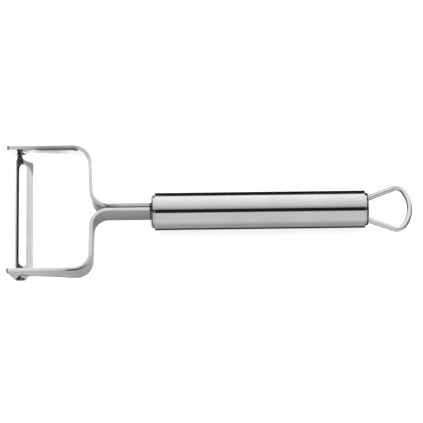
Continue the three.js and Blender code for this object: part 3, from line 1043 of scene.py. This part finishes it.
def add_floor():
    """A pale floor that is white to the camera, shows in the metal and keeps the tool's shadow."""
    material, tree = new_material("floor_white")
    rays = add_node(tree, "ShaderNodeLightPath").outputs
    in_metal = joined(tree, "MAXIMUM", rays["Is Glossy Ray"], rays["Is Transmission Ray"])
    metal_glow = joined(tree, "MULTIPLY", in_metal, METAL_GLOW)
    set_inputs(tree.nodes["Principled BSDF"], {
        "Base Color": (FLOOR_TONE, FLOOR_TONE, FLOOR_TONE, 1),
        "Roughness": 0.9,
        "Specular IOR Level": 0.0,
        "Emission Color": (1, 1, 1, 1),
        "Emission Strength": joined(tree, "MULTIPLY_ADD", rays["Is Camera Ray"], CAMERA_GLOW, metal_glow),
    })
    span = (-FLOOR_HALF, FLOOR_HALF)
    stage_plane("floor", span, span, FLOOR_HEIGHT, material)


def shade_ramp(tree, share, stops):
    """A ramp of greys from (share, brightness), as an output socket."""
    ramp = add_node(tree, "ShaderNodeValToRGB", {"Fac": share})
    elements = ramp.color_ramp.elements
    while len(elements) < len(stops):
        elements.new(0.5)
    for element, (place, shade) in zip(elements, stops):
        element.position = place
        element.color = (shade, shade, shade, 1)
    return ramp.outputs["Color"]


def add_card(name, x_range, y_range, shades, axis="Y"):
    """A glowing card on the floor that shows only in polished metal, as a painted reflection. Shades are
    (place along an axis, brightness).
    """
    material, tree = new_material(name)
    tree.nodes.remove(tree.nodes["Principled BSDF"])
    first, last = shades[0][0], shades[-1][0]
    parts = add_node(tree, "ShaderNodeSeparateXYZ", {0: object_coordinates(tree)}).outputs
    span = {"Value": parts[axis], "From Min": first * MM, "From Max": last * MM}
    share = add_node(tree, "ShaderNodeMapRange", span).outputs["Result"]
    shade = shade_ramp(tree, share, [((place - first) / (last - first), shade) for place, shade in shades])
    glow = add_node(tree, "ShaderNodeEmission", {"Color": shade})
    set_inputs(tree.nodes["Material Output"], {"Surface": glow.outputs[0]})
    card = stage_plane(name, np.array(x_range) * MM, np.array(y_range) * MM, CARD_HEIGHT * MM, material)
    card.visible_camera = False
    card.visible_diffuse = False
    card.visible_shadow = False
    card.visible_transmission = False
    card.visible_volume_scatter = False


def add_plain_card(name, x_range, y_range, shade):
    """A card of one brightness."""
    add_card(name, x_range, y_range, [(place, shade) for place in y_range])


def add_cards():
    """Painted reflections of shade and light: black behind the handle, grey in front and darker towards it,
    dark under the blade and bright inside the fork.
    """
    handle, corner = (HANDLE_BORDER, REAR_BORDER), (CORNER_BORDER, YOKE_BORDER)
    add_plain_card("card_behind_handle", handle, (BLACK_LINE, FAR_LINE), 0.015)
    near = [(NEAR_LINE, 0.8), (APRON_LINE, 0.8), (-51, 0.73), (-33, 0.61), (-24, 0.51), (BLACK_LINE, 0.46)]
    add_card("card_before_handle", handle, (NEAR_LINE, BLACK_LINE), near)
    beside = [(-ARM_LINE, 0.53), (-9, 0.53), (-3, 0.3), (SEAM_LINE, 0.27)]
    add_card("card_beside_yoke", (CORNER_BORDER, HANDLE_BORDER), (-ARM_LINE, SEAM_LINE), beside)
    before = [(TIP_BORDER, 0.74), (-72, 0.72), (-62, 0.62), (-54, 0.53), (HANDLE_BORDER, 0.53)]
    add_card("card_before_arm", (TIP_BORDER, HANDLE_BORDER), (APRON_LINE, -ARM_LINE), before, "X")
    inside = [(TIP_BORDER, 1.4), (-79, 1.3), (-72, 1.0), (-66, 1.0), (-60, 1.4), (YOKE_BORDER, 1.5)]
    add_card("card_inside_arm", (TIP_BORDER, YOKE_BORDER), (INSIDE_LINE, ARM_LINE), inside, "X")
    add_plain_card("card_in_corner", corner, (CORNER_LINE, INSIDE_LINE), 1.45)
    yoke = [(SEAM_LINE, 0.4), (4, 0.5), (CORNER_LINE, 1.2)]
    add_card("card_in_yoke", corner, (SEAM_LINE, CORNER_LINE), yoke)
    add_plain_card("card_under_blade", (BLADE_BORDER, CORNER_BORDER), (-ARM_LINE, INSIDE_LINE), 0.03)
    add_plain_card("card_under_loop", *LOOP_CARD, 0.08)
    add_plain_card("card_right", *RIGHT_CARD, 0.05)


def add_world():
    """A soft studio dome, brighter behind the tool, with a narrow dark gap overhead and dark sides."""
    world = bpy.data.worlds.new("studio")
    bpy.context.scene.world = world
    world.use_nodes = True
    tree = world.node_tree
    direction = add_node(tree, "ShaderNodeTexCoord").outputs["Generated"]
    parts = add_node(tree, "ShaderNodeSeparateXYZ", {0: direction}).outputs
    angle = joined(tree, "ARCTAN2", parts["Y"], parts["Z"])
    span = {"Value": angle, "From Min": -math.pi / 2, "From Max": math.pi / 2}
    share = add_node(tree, "ShaderNodeMapRange", span).outputs["Result"]
    dome, gap = (
        shade_ramp(tree, share, [((degrees + 90) / 180, shade) for degrees, shade in shades])
        for shades in (DOME_SHADES, GAP_SHADES)
    )
    left = smooth_range(tree, parts["X"], GAP_LEFT, (1.0, 0.0))
    right = smooth_range(tree, parts["X"], GAP_RIGHT)
    bounded_gap = mixed(tree, joined(tree, "ADD", left, right), gap, (1, 1, 1, 1))
    sideways = joined(tree, "ABSOLUTE", parts["X"])
    sides = smooth_range(tree, sideways, (SIDE_START, SIDE_END), (1.0, SIDE_SHADE))
    light = scaled(tree, joined_vectors(tree, "MULTIPLY", dome, bounded_gap), sides)
    backdrop = (BACKDROP_GREY, BACKDROP_GREY, BACKDROP_GREY, 1)
    to_camera = add_node(tree, "ShaderNodeLightPath").outputs["Is Camera Ray"]
    shown = mixed(tree, to_camera, light, backdrop)
    set_inputs(tree.nodes["Background"], {"Color": shown, "Strength": DOME_STRENGTH})


EFFECTS = {"lines": polish_lines_effect(), "haze": handling_haze_effect()}
TREES = {"bend": bend_tree(), "wire": wire_tree()}

handle_steel = steel(
    "handle_steel", object_coordinates, tones=((0.62, 0.625, 0.63), (0.58, 0.585, 0.59)),
    roughness=(0.05, 0.1), density=(300, 9000, 9000), line_depth=1e-7, patches=60)
cap_steel = steel(
    "cap_steel", object_coordinates, tones=((0.6, 0.605, 0.61), (0.55, 0.555, 0.56)),
    roughness=(0.06, 0.13), density=(6000, 6000, 6000), line_depth=1e-7, patches=260)
strip_finish_and_painted_shade = steel(
    "strip_finish_and_painted_shade", blank_coordinates, tones=((0.62, 0.625, 0.63), (0.57, 0.575, 0.58)),
    roughness=(0.08, 0.16), density=(300, 9000, 1), line_depth=1.5e-7, patches=80)
blade_finish_and_painted_shade = steel(
    "blade_finish_and_painted_shade", blank_coordinates, tones=((0.56, 0.565, 0.57), (0.52, 0.525, 0.53)),
    roughness=(0.08, 0.18), density=(7000, 300, 1), line_depth=1.5e-7, patches=120)
wire_finish = steel(
    "wire_finish", object_coordinates, tones=((0.7, 0.705, 0.71), (0.65, 0.655, 0.66)),
    roughness=(0.24, 0.32), density=(3000, 3000, 9000), line_depth=1e-7, patches=260)
rivet_finish = steel(
    "rivet_finish", object_coordinates, tones=((0.5, 0.505, 0.51), (0.44, 0.445, 0.45)),
    roughness=(0.25, 0.45), density=(3000, 3000, 3000), line_depth=6e-7, patches=400)

# Painted shade and painted reflections on the blade, strips and caps
paint_blade_shade(blade_finish_and_painted_shade.node_tree)
paint_strip_shade(strip_finish_and_painted_shade.node_tree)
paint_cap_reflections(cap_steel.node_tree)

make_tube(handle_steel)
make_cap("front_cap_domed", "front_cap", 0.0, -1, [tang_slot_cutter()], cap_steel)
make_cap("rear_cap_domed", "rear_cap", TUBE_LENGTH, 1, wire_hole_cutters(), cap_steel)
make_strip("fork_strip_left_bent", "fork_strip_left", 1, strip_finish_and_painted_shade)
make_strip("fork_strip_right_bent", "fork_strip_right", -1, strip_finish_and_painted_shade)
make_blade(blade_finish_and_painted_shade)
make_loop(wire_finish)
for node in ("tang_rivet_front", "tang_rivet_rear"):
    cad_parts[node].data.materials[0] = rivet_finish
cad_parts["tang_core"].data.materials[0] = core_plastic()

add_camera()
add_floor()
add_cards()
add_world()
bpy.context.scene.view_settings.view_transform = "Standard"
